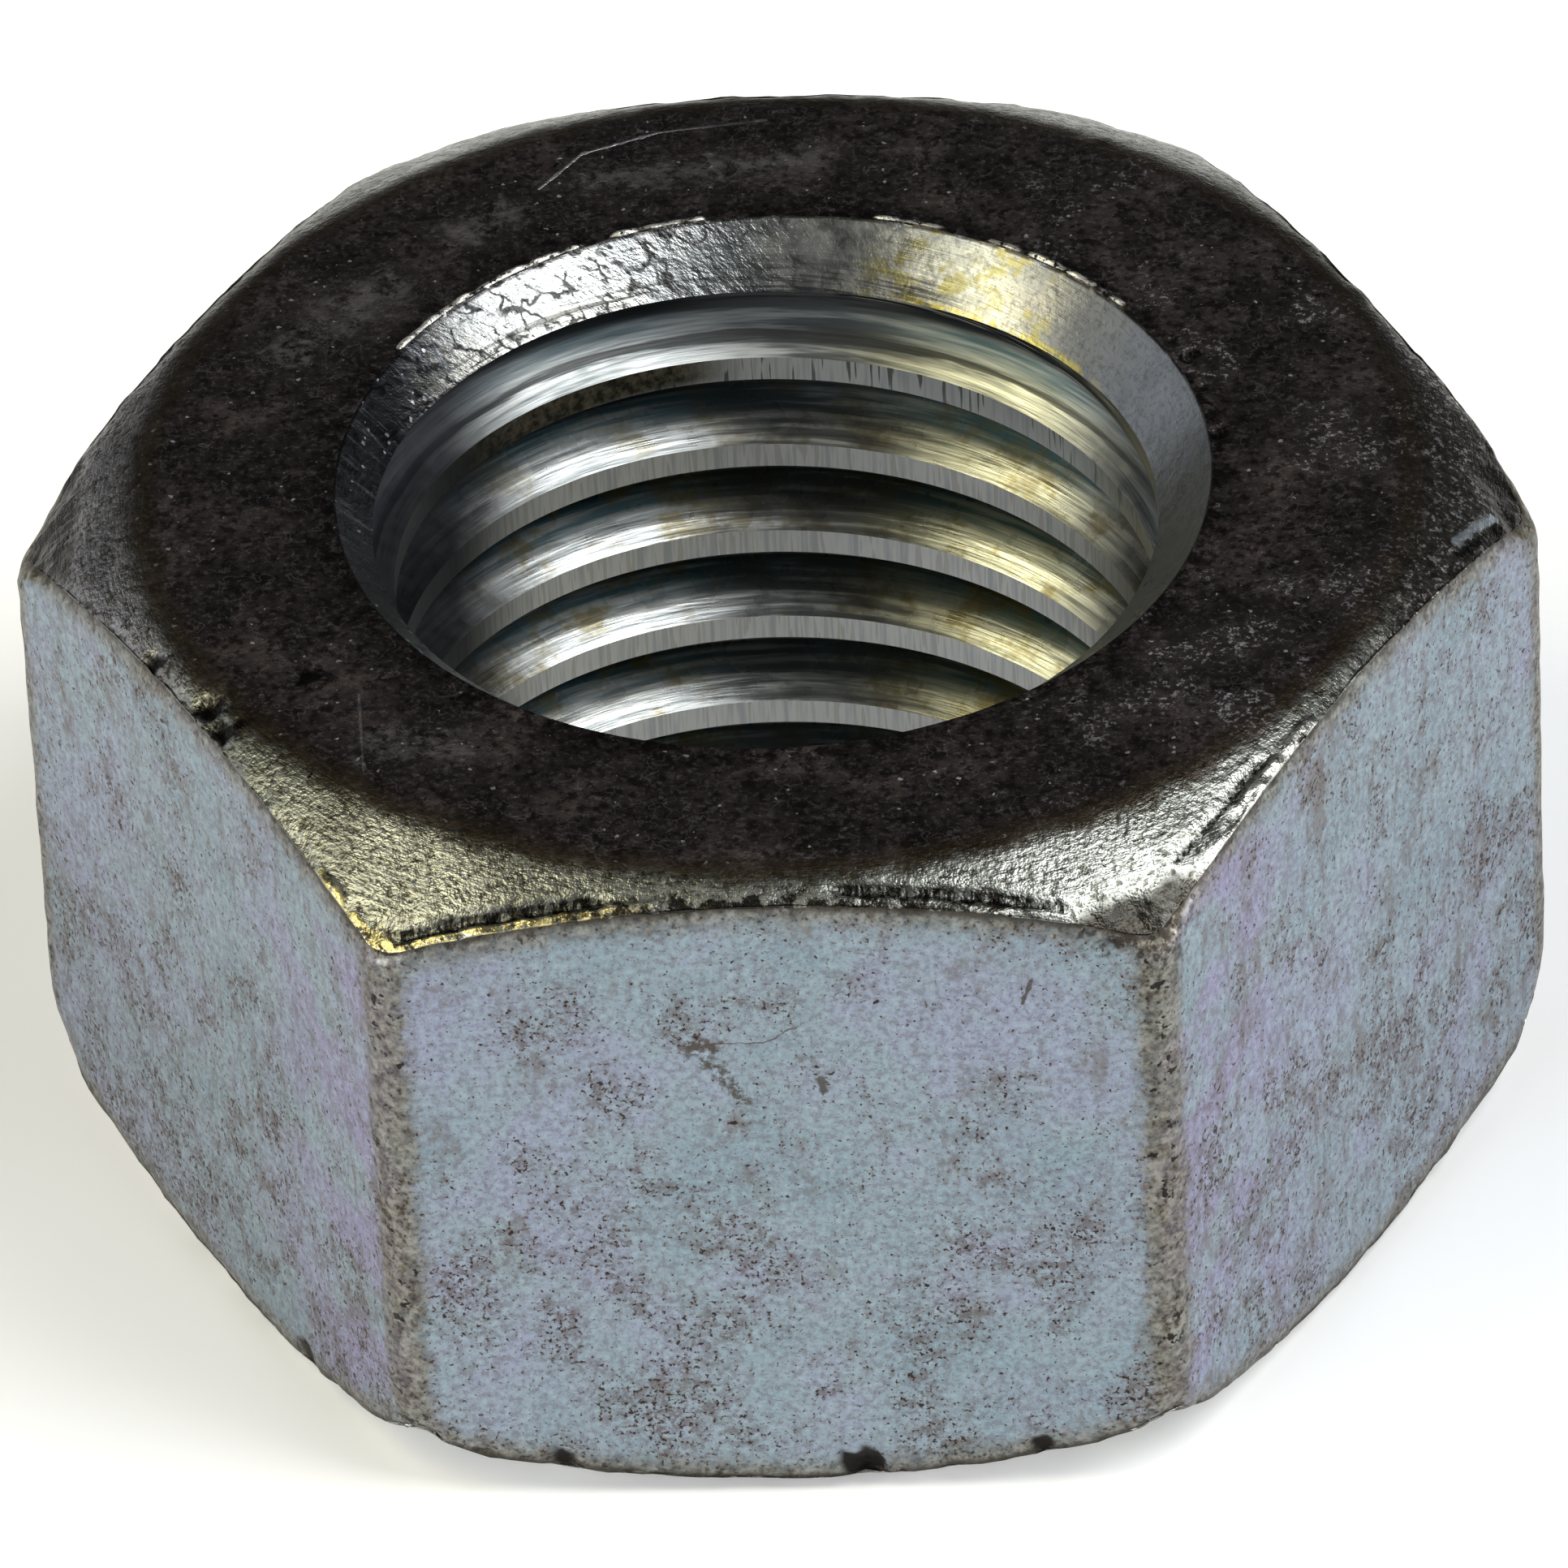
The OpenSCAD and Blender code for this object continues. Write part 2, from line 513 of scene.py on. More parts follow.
def keep_bore_crisp(mesh, point_kind):
    """Marks the bore's edges sharp and leaves the outside's rolled edges smooth."""
    mesh.set_sharp_from_angle(angle=SHARP_ANGLE)
    ends = np.empty(len(mesh.edges) * 2, dtype=np.int64)
    mesh.edges.foreach_get("vertices", ends)
    crisp = np.empty(len(mesh.edges), dtype=bool)
    sharp = mesh.attributes["sharp_edge"].data
    sharp.foreach_get("value", crisp)
    crisp &= (point_kind[ends.reshape(-1, 2)] == BORE).any(axis=1)
    sharp.foreach_set("value", crisp)


def build_nut():
    """The worn nut as one closed mesh, with the attributes that its finishes read."""
    r, z, angles, kinds = grid()
    place = angles[:, :-1]
    points = np.stack([r * np.cos(place), r * np.sin(place), z], -1).reshape(-1, 3)
    corners = triangles(len(r))
    faces = corners[..., 0] * COLUMNS + (corners[..., 1] + corners[..., 2]) % COLUMNS

    row, column = corners[..., 0], corners[..., 1] + corners[..., 2]
    strip = np.repeat(kinds[corners[:, 0, 3]][:, None], 3, axis=1)
    angle = angles[row, column]
    corner_r, corner_z = r[row, column % COLUMNS], z[row, column % COLUMNS]
    layout = layout_of(strip, angle, corner_r, corner_z)
    edge = edge_distance(strip, angle, corner_r, corner_z)

    point_kind = np.repeat(kinds, COLUMNS)
    point_angle, point_r, point_z = place.ravel(), r.ravel(), z.ravel()
    point_edge = edge_distance(point_kind, point_angle, point_r, point_z)
    corner_away = np.abs(point_r * np.sin(from_corner(point_angle)))
    wear = burrs(points, point_kind, point_angle, point_r, point_edge)
    wear -= hollows(points, point_kind, point_angle, point_edge)
    shift = relief(points, point_kind, corner_away, point_edge) + wear
    worn, knocked = knock_tips(points + vertex_normals(points, faces) * shift[:, None])

    mesh = bpy.data.meshes.new("zinc_nut")
    mesh.vertices.add(len(worn))
    mesh.vertices.foreach_set("co", (worn * MM).ravel())
    mesh.loops.add(faces.size)
    mesh.loops.foreach_set("vertex_index", faces.ravel())
    mesh.polygons.add(len(faces))
    mesh.polygons.foreach_set("loop_start", np.arange(0, faces.size, 3))
    slots = slot_numbers(strip[:, 0], angle.mean(1), corner_z.mean(1))
    mesh.polygons.foreach_set("material_index", slots)
    mesh.update(calc_edges=True)
    mesh.attributes.new("layout", "FLOAT_VECTOR", "CORNER").data.foreach_set("vector", layout.ravel())
    mesh.attributes.new("edge", "FLOAT", "CORNER").data.foreach_set("value", edge.ravel())
    mesh.attributes.new("wear", "FLOAT", "POINT").data.foreach_set("value", wear)
    mesh.attributes.new("knocked", "FLOAT", "POINT").data.foreach_set("value", knocked)
    mesh.validate()
    mesh.shade_smooth()
    keep_bore_crisp(mesh, point_kind)

    nut = bpy.data.objects.new("zinc_nut", mesh)
    bpy.context.scene.collection.objects.link(nut)
    return nut


# ---------------------------------------------------------------- material nodes


class Nodes:
    """Short names for the shader nodes that the finishes share."""

    def __init__(self, name):
        self.material = bpy.data.materials.new(name)
        self.material.use_nodes = True
        self.tree = self.material.node_tree
        self.shader = self.tree.nodes["Principled BSDF"]

    def node(self, kind, **settings):
        made = self.tree.nodes.new(kind)
        for key, value in settings.items():
            setattr(made, key, value)
        return made

    def put(self, socket, value):
        if isinstance(value, bpy.types.NodeSocket):
            self.tree.links.new(value, socket)
        elif value is not None:
            socket.default_value = value

    def position(self):
        """Position in millimetres in the row frame."""
        return self.scaled(self.node("ShaderNodeTexCoord").outputs["Object"], (1000, 1000, 1000))

    def attribute(self, name, output):
        return self.node("ShaderNodeAttribute", attribute_name=name).outputs[output]

    def scaled(self, vector, scale):
        made = self.node("ShaderNodeVectorMath", operation="MULTIPLY")
        self.put(made.inputs[0], vector)
        made.inputs[1].default_value = scale
        return made.outputs[0]

    def part(self, vector, axis):
        made = self.node("ShaderNodeSeparateXYZ")
        self.put(made.inputs[0], vector)
        return made.outputs[axis]

    def math(self, operation, a, b=None, clamp=False):
        made = self.node("ShaderNodeMath", operation=operation, use_clamp=clamp)
        self.put(made.inputs[0], a)
        self.put(made.inputs[1], b)
        return made.outputs[0]

    def times(self, a, b):
        return self.math("MULTIPLY", a, b)

    def plus(self, a, b):
        return self.math("ADD", a, b)

    def minus(self, a, b):
        return self.math("SUBTRACT", a, b)

    def unsigned(self, a):
        return self.math("ABSOLUTE", a)

    def moved(self, vector, by):
        """One vector added to another."""
        made = self.node("ShaderNodeVectorMath", operation="ADD")
        self.put(made.inputs[0], by)
        self.put(made.inputs[1], vector)
        return made.outputs[0]

    def noise(self, vector, scale, detail=4.0, rough=0.55, distortion=0.0):
        made = self.node("ShaderNodeTexNoise")
        self.put(made.inputs["Vector"], vector)
        made.inputs["Scale"].default_value = scale
        made.inputs["Detail"].default_value = detail
        made.inputs["Roughness"].default_value = rough
        made.inputs["Distortion"].default_value = distortion
        return made.outputs["Fac"]

    def wander(self, vector, scale):
        """A wandering three-part noise."""
        made = self.node("ShaderNodeTexNoise")
        self.put(made.inputs["Vector"], vector)
        made.inputs["Scale"].default_value = scale
        made.inputs["Detail"].default_value = 2.0
        return made.outputs["Color"]

    def cells(self, vector, scale, feature):
        made = self.node("ShaderNodeTexVoronoi", feature=feature)
        self.put(made.inputs["Vector"], vector)
        made.inputs["Scale"].default_value = scale
        return made.outputs["Distance"]

    def span(self, value, start, end, low=0.0, high=1.0):
        """Maps start..end to low..high, smooth and clamped."""
        made = self.node("ShaderNodeMapRange", interpolation_type="SMOOTHSTEP")
        self.put(made.inputs["Value"], value)
        for key, number in (("From Min", start), ("From Max", end), ("To Min", low), ("To Max", high)):
            made.inputs[key].default_value = number
        return made.outputs["Result"]

    def mix(self, share, a, b, blend="MIX"):
        made = self.node("ShaderNodeMix", data_type="RGBA", blend_type=blend)
        self.put(made.inputs["Factor"], share)
        self.put(made.inputs["A"], a)
        self.put(made.inputs["B"], b)
        return made.outputs["Result"]

    def ramp(self, value, stops):
        made = self.node("ShaderNodeValToRGB")
        self.put(made.inputs[0], value)
        band = made.color_ramp
        while len(band.elements) < len(stops):
            band.elements.new(1.0)
        for element, (place, colour) in zip(band.elements, stops):
            element.position = place
            element.color = colour
        return made.outputs[0]

    def bump(self, height, strength, distance, normal=None):
        made = self.node("ShaderNodeBump")
        made.inputs["Strength"].default_value = strength
        made.inputs["Distance"].default_value = distance * MM
        self.put(made.inputs["Height"], height)
        self.put(made.inputs["Normal"], normal)
        return made.outputs["Normal"]

    def finish(self, colour, roughness, normal, metallic=1.0):
        self.put(self.shader.inputs["Base Color"], colour)
        self.put(self.shader.inputs["Roughness"], roughness)
        self.put(self.shader.inputs["Normal"], normal)
        self.put(self.shader.inputs["Metallic"], metallic)
        return self.material


def linear(level):
    """Turns a colour channel as it looks on screen, 0 to 255, into linear light."""
    return ((level / 255 + 0.055) / 1.055) ** 2.4 if level > 10 else level / 255 / 12.92


def rgb(red, green, blue):
    """A colour given as it looks on screen."""
    return linear(red), linear(green), linear(blue), 1.0


def specks(n, spot, per_mm, share, size):
    """Ragged round specks: share of the cells have one, each up to size of a cell across."""
    ragged = n.moved(spot, n.scaled(n.wander(spot, per_mm * 1.6), (0.7 / per_mm,) * 3))
    cell = n.node("ShaderNodeTexVoronoi")
    n.put(cell.inputs["Vector"], ragged)
    cell.inputs["Scale"].default_value = per_mm
    chosen = n.math("LESS_THAN", n.part(cell.outputs["Color"], 0), share)
    room = n.span(n.part(cell.outputs["Color"], 1), 0.0, 1.0, size * 0.4, size)
    inside = n.minus(room, cell.outputs["Distance"])
    return n.times(chosen, n.span(inside, 0.0, size * 0.35))


def line(n, spot, start, end, width):
    """A ragged straight mark between two points in millimetres."""
    start, end = Vector(start), Vector(end)
    along = end - start
    from_start = n.node("ShaderNodeVectorMath", operation="SUBTRACT")
    n.put(from_start.inputs[0], spot)
    from_start.inputs[1].default_value = start
    dot = n.node("ShaderNodeVectorMath", operation="DOT_PRODUCT")
    n.put(dot.inputs[0], from_start.outputs[0])
    dot.inputs[1].default_value = along / along.length_squared
    share = n.math("MULTIPLY", dot.outputs["Value"], 1.0, clamp=True)
    nearest = n.node("ShaderNodeVectorMath", operation="SCALE")
    nearest.inputs[0].default_value = along
    n.put(nearest.inputs["Scale"], share)
    away = n.node("ShaderNodeVectorMath", operation="DISTANCE")
    n.put(away.inputs[0], from_start.outputs[0])
    n.put(away.inputs[1], nearest.outputs[0])
    ragged = n.times(away.outputs["Value"], n.span(n.noise(spot, 4.0, 2.0), 0.3, 0.7, 0.6, 1.7))
    return n.span(ragged, width, width * 0.35)


def path(n, spot, points, width):
    """A ragged mark through several points."""
    return either(n, *(line(n, spot, a, b, width) for a, b in zip(points, points[1:])))


def either(n, *masks):
    """The strongest of several masks."""
    total = masks[0]
    for mask in masks[1:]:
        total = n.math("MAXIMUM", total, mask)
    return total


def flat_finish():
    """Blue-white zinc on the flats: clouded, freckled with black pits, dirty along its edges, with
    painted shade along its ends, on its knocked tips and in its chips.
    """
    n = Nodes("zinc_flats")
    lay = n.attribute("layout", "Vector")
    edge = n.attribute("edge", "Fac")
    spot = n.position()
    corner = n.part(lay, 2)
    off_middle = n.unsigned(n.part(spot, 0))
    aside = n.span(off_middle, 8.0, 8.8)

    # Pale cyan clouds with a fine lilac-grey grain, more lilac on the side flats, and brown smudges
    cloud = n.noise(spot, 0.3, 3.0, 0.65)
    cloud_tones = [(0.36, rgb(122, 140, 150)), (0.5, rgb(130, 145, 154)), (0.62, rgb(134, 143, 160))]
    tone = n.ramp(cloud, cloud_tones)
    lilac = n.times(n.span(corner, 6.0, 2.0, 0.1, 1.0), n.span(n.noise(spot, 0.45, 2.0), 0.4, 0.58))
    lilac = n.times(lilac, n.span(off_middle, 14.5, 11.5, 0.25, 1.0))
    tone = n.mix(n.times(lilac, n.span(aside, 0, 1, 0.15, 0.9)), tone, rgb(134, 130, 160))
    grain = n.noise(spot, 5.0, 3.0, 0.7)
    tone = n.mix(n.span(grain, 0.46, 0.62, 0.0, 0.6), tone, rgb(104, 103, 112))
    tone = n.mix(n.span(grain, 0.46, 0.34, 0.0, 0.4), tone, rgb(154, 168, 174))
    smudge = n.noise(n.scaled(spot, (1.0, 1.0, 0.6)), 0.6, 5.0, 0.75)
    tone = n.mix(n.span(smudge, 0.54, 0.68, 0.0, 0.6), tone, rgb(96, 88, 82))
    streak = n.noise(n.scaled(lay, (2.4, 0.6, 0.0)), 1.0, 4.0, 0.7)
    streaked = n.times(n.span(streak, 0.52, 0.68), n.span(aside, 0, 1, 0.12, 0.6))
    tone = n.mix(streaked, tone, rgb(92, 84, 84))

    # Black pits gather in dirty clusters, most of them low down, each with a brown margin
    low_down = n.span(n.part(spot, 2), 11.0, 6.0, -0.02, 0.045)
    cluster = n.plus(n.noise(spot, 0.55, 4.0, 0.7), low_down)
    dirty = n.times(n.span(cluster, 0.48, 0.64), n.span(n.noise(spot, 2.6, 4.0, 0.75), 0.44, 0.6))
    tone = n.mix(n.times(dirty, 0.7), tone, rgb(84, 76, 76))
    fine = n.plus(n.noise(spot, 9.0, 2.0, 0.6), n.span(cluster, 0.42, 0.68, -0.035, 0.06))
    coarse = n.plus(n.noise(spot, 4.6, 2.0, 0.6), n.span(cluster, 0.44, 0.68, -0.05, 0.035))
    margin = either(n, n.span(fine, 0.56, 0.64), n.span(coarse, 0.62, 0.68))
    tone = n.mix(n.times(margin, 0.6), tone, rgb(92, 76, 70))
    pits = either(n, n.span(fine, 0.635, 0.675), n.span(coarse, 0.66, 0.69))
    tone = n.mix(n.times(pits, 0.9), tone, rgb(30, 22, 20))

    # Corners and ends are rubbed to a gritty olive brown
    wander = n.times(n.noise(spot, 1.8, 5.0, 0.75), 0.95)
    rubbed = n.span(n.minus(corner, wander), 0.3, -0.12)
    foot = n.span(n.minus(edge, wander), 0.4, -0.3)
    low_tip = n.span(n.plus(n.times(edge, 0.55), n.minus(corner, wander)), 0.95, 0.0)
    knocked = n.plus(n.attribute("knocked", "Fac"), n.times(wander, 0.1))
    tip = either(n, n.span(knocked, 0.09, 0.2), n.times(low_tip, 0.8))
    worn = either(n, n.times(rubbed, 0.8), n.times(foot, 0.75), tip)
    grit = n.noise(spot, 4.5, 2.0, 0.7)
    brown_tones = [(0.32, rgb(134, 131, 121)), (0.48, rgb(101, 96, 84)), (0.64, rgb(60, 52, 40))]
    brown = n.ramp(grit, brown_tones)
    tone = n.mix(worn, tone, brown)
    # Painted shade along the flat's upper and lower ends and on its knocked corner tips
    end_shade = n.span(n.minus(edge, n.times(wander, 0.5)), 0.04, -0.18, 0.0, 0.85)
    end_and_tip_shade = either(n, end_shade, n.span(knocked, 0.3, 0.5, 0.0, 0.75))
    tone = n.mix(end_and_tip_shade, tone, rgb(52, 47, 40))
    holes = n.span(n.noise(spot, 3.2, 2.0, 0.6), 0.6, 0.66)
    holes = n.times(holes, either(n, rubbed, n.times(foot, 0.6)))
    tone = n.mix(n.times(holes, 0.95), tone, rgb(22, 17, 14))
    # Painted shade in the chips
    tone = n.mix(n.span(n.attribute("wear", "Fac"), -0.03, -0.1), tone, rgb(24, 20, 18))

    # Handling marks on the front, and soot under its right tip
    soot = line(n, spot, (7.9, -15, 15.8), (9.2, -14.6, 15.5), 1.0)
    soot = n.times(soot, n.span(grit, 0.36, 0.54, 0.35, 0.9))
    tone = n.mix(soot, tone, rgb(46, 41, 36))
    smear = either(
        n,
        line(n, spot, (-1.62, -15, 12.8), (-0.72, -15, 11.35), 0.24),
        line(n, spot, (-1.85, -15, 12.9), (-1.25, -15, 12.9), 0.3),
    )
    smear = n.times(smear, n.span(n.noise(spot, 5.0, 3.0, 0.7), 0.36, 0.56))
    dab = line(n, spot, (1.0, -15, 11.9), (1.05, -15, 11.6), 0.16)
    tick = line(n, spot, (5.7, -15, 14.5), (5.5, -15, 13.9), 0.08)
    tone = n.mix(n.times(either(n, smear, dab, tick), 0.85), tone, rgb(64, 58, 48))
    bent = n.moved(spot, n.scaled(n.wander(spot, 1.2), (0.5, 0.0, 0.5)))
    hair = path(n, bent, [(-1.85, -15, 13.15), (-0.05, -15, 13.2), (0.75, -15, 13.65)], 0.03)
    tone = n.mix(n.times(hair, 0.8), tone, rgb(82, 58, 58))

    rough = n.span(n.noise(spot, 3.0, 2.0), 0.3, 0.7, 0.4, 0.52)
    height = n.minus(n.noise(spot, 6.0, 2.0, 0.6), either(n, pits, holes))
    normal = n.bump(height, 0.5, 0.03)
    return n.finish(tone, rough, normal, metallic=0.85)


def top_finish():
    """The two ends: a dark rubbed face with a soft shoulder down to the bright granular chamfer."""
    n = Nodes("zinc_ends")
    lay = n.attribute("layout", "Vector")
    edge = n.attribute("edge", "Fac")
    spot = n.position()
    x, y = n.part(spot, 0), n.part(spot, 1)
    past = n.part(lay, 1)

    # Face: near black, clouded, with patches of bright grains that are painted glints, painted glint
    # specks and faint tide lines
    cloud = n.noise(spot, 0.5, 4.0, 0.65)
    face = n.ramp(cloud, [(0.3, rgb(42, 37, 37)), (0.5, rgb(62, 55, 55)), (0.7, rgb(96, 88, 85))])
    mottle = n.noise(spot, 4.0, 3.0, 0.75)
    face = n.mix(n.span(mottle, 0.5, 0.38, 0.0, 0.7), face, rgb(24, 20, 20))
    patch = n.span(n.noise(spot, 0.4, 3.0, 0.7), 0.52, 0.62)
    right = n.span(x, 1.0, 12.0, 0.12, 1.0)
    grains = n.span(n.noise(spot, 8.0, 2.0, 0.7), 0.54, 0.66)
    sparkly = either(
        n,
        n.times(patch, right),
        line(n, spot, (12.6, 1.5, HEIGHT), (13.1, 0.4, HEIGHT), 1.1),
        line(n, spot, (14.2, -3.0, HEIGHT), (14.5, -2.6, HEIGHT), 0.8),
        line(n, spot, (13.2, -5.2, HEIGHT), (13.8, -3.8, HEIGHT), 0.9),
        line(n, spot, (9.0, -7.0, HEIGHT), (10.8, -6.2, HEIGHT), 1.0),
    )
    face = n.mix(n.times(sparkly, 0.3), face, rgb(98, 90, 92))
    # Painted glints: bright grains in the sparkly patches, then bright specks
    grains = n.times(grains, n.span(sparkly, 0, 1, 0.12, 1.0))
    face = n.mix(grains, face, rgb(184, 180, 186))
    glints = specks(n, spot, 4.0, 0.22, 0.24)
    face = n.mix(n.times(glints, 0.8), face, rgb(215, 212, 220))
    tide = n.unsigned(n.minus(n.noise(spot, 0.7, 3.0, 0.6), 0.56))
    face = n.mix(n.span(tide, 0.007, 0.0, 0.0, 0.4), face, rgb(140, 134, 136))
    wisps = either(
        n,
        line(n, spot, (-10.9, 5.3, HEIGHT), (-9.0, 7.4, HEIGHT), 1.1),
        line(n, spot, (-7.2, 9.6, HEIGHT), (-6.2, 10.3, HEIGHT), 0.8),
        line(n, spot, (-4.4, 11.4, HEIGHT), (1.0, 12.2, HEIGHT), 0.7),
        line(n, spot, (-8.6, -9.2, HEIGHT), (-7.0, -9.6, HEIGHT), 0.9),
    )
    wisps = n.times(wisps, n.span(n.noise(spot, 1.6, 5.0, 0.8), 0.42, 0.58))
    face = n.mix(n.times(wisps, 0.7), face, rgb(134, 128, 130))
    rim = n.times(n.span(edge, 0.9, 0.2), n.span(n.noise(spot, 2.4, 3.0, 0.75), 0.42, 0.58))
    face = n.mix(n.times(rim, 0.8), face, rgb(16, 13, 10))
    long = [(-5.5, 11.2, HEIGHT), (-4.54, 12.53, HEIGHT), (-2.79, 13.3, HEIGHT), (-0.32, 13.68, HEIGHT)]
    scratch = either(
        n,
        n.times(path(n, spot, long, 0.06), n.span(x, -1.0, -3.6, 0.2, 0.7)),
        n.times(line(n, spot, (-9.1, -7.6, HEIGHT), (-8.9, -10.6, HEIGHT), 0.05), 0.2),
    )
    face = n.mix(n.times(scratch, 0.9), face, rgb(205, 205, 212))

    # Chamfer: granular and finely scored
    chamfer = n.ramp(n.noise(spot, 0.5, 3.0), [(0.35, rgb(134, 136, 130)), (0.65, rgb(170, 172, 166))])
    chamfer = n.mix(n.span(x, -12.0, -14.5, 0, 0.6), chamfer, rgb(136, 130, 138))
    grit = n.noise(spot, 5.5, 2.0, 0.75)
    chamfer = n.mix(n.span(grit, 0.5, 0.36, 0.0, 0.8), chamfer, rgb(60, 57, 46))
    # Painted shade on the chamfer's far right, with painted glints on its grains
    far_right = n.span(x, 12.5, 14.5)
    chamfer = n.mix(n.times(far_right, 0.8), chamfer, rgb(58, 54, 50))
    chamfer = n.mix(n.times(far_right, n.span(grit, 0.54, 0.64)), chamfer, rgb(205, 202, 200))
    scores = n.noise(n.scaled(lay, (1.2, 8.0, 0.0)), 1.0, 3.0, 0.7)
    chamfer = n.mix(n.span(scores, 0.52, 0.7, 0.0, 0.6), chamfer, rgb(84, 80, 70))

    # The shoulder is stained olive, and the mouth's burr is bare and bright
    wander = n.times(n.minus(n.noise(spot, 1.3, 4.0, 0.65), 0.5), 1.1)
    place = n.plus(past, wander)
    tone = n.mix(n.span(place, -0.08, 0.36), face, chamfer)
    stain = n.times(n.span(place, -0.6, -0.1), n.span(place, 0.55, 0.1))
    tone = n.mix(n.times(stain, 0.65), tone, rgb(58, 50, 34))
    wear = n.attribute("wear", "Fac")
    # Painted warm reflection: at the front left the bright beads and the specks on the knocked tips are
    # tinted yellow
    warm_reflection_left = n.times(n.span(x, -1.0, -4.0), n.span(y, -11.5, -13.0))
    bare = n.mix(warm_reflection_left, rgb(208, 208, 200), rgb(212, 198, 140))
    fine = n.noise(spot, 6.5, 2.0)
    tone = n.mix(n.times(n.span(wear, 0.025, 0.05), n.span(fine, 0.36, 0.5)), tone, bare)
    knocked = n.plus(n.attribute("knocked", "Fac"), n.times(wander, 0.12))
    dusted = n.mix(n.times(warm_reflection_left, n.span(fine, 0.42, 0.52)), rgb(38, 34, 29), bare)
    tone = n.mix(n.span(knocked, 0.06, 0.16, 0.0, 0.9), tone, dusted)
    ragged = n.plus(edge, n.span(n.noise(spot, 3.0, 3.0, 0.7), 0.3, 0.7, -0.35, 0.2))
    bared = n.span(n.unsigned(n.plus(x, -0.5)), 4.5, 6.0, 1.0, 0.35)
    foot = n.times(n.span(ragged, 0.16, 0.0, 0, 0.9), bared)
    tone = n.mix(n.times(foot, n.span(past, -0.2, 0.2)), tone, rgb(46, 40, 34))
    pits = specks(n, spot, 1.6, 0.22, 0.12)
    tone = n.mix(n.times(pits, 0.9), tone, rgb(14, 12, 10))
    level = n.scaled(spot, (1, 1, 0))
    nick = line(n, level, (15.25, -2.4, 0), (16.15, -0.95, 0), 0.15)
    # A painted shadow line beside the raised nick
    shade = line(n, level, (15.35, -2.7, 0), (16.3, -1.2, 0), 0.22)
    tone = n.mix(n.times(shade, 0.85), tone, rgb(18, 16, 14))
    tone = n.mix(n.times(nick, 0.9), tone, rgb(198, 210, 218))
    holes = either(n, *(line(n, level, (px, py, 0), (px + 0.12, py, 0), 0.45) for px, py in BLACK_PITS))
    tone = n.mix(n.times(holes, 0.95), tone, rgb(8, 7, 6))
    # Painted shade in the hollows: grooves, pits, chips and gouges
    hatch = n.span(n.noise(n.scaled(spot, (10.0, 3.0, 3.0)), 1.0, 1.0), 0.44, 0.58, 0.95, 0.5)
    tone = n.mix(n.times(n.span(wear, -0.015, -0.06), hatch), tone, rgb(20, 17, 14))

    on_face = n.span(place, 0.3, -0.1)
    rough = n.plus(n.span(n.noise(spot, 3.0, 2.0), 0.3, 0.7, 0.26, 0.38), n.times(on_face, 0.14))
    height = n.plus(n.plus(grit, n.times(scores, 0.6)), scratch)
    normal = n.bump(height, 0.65, 0.045)
    return n.finish(tone, rough, normal)


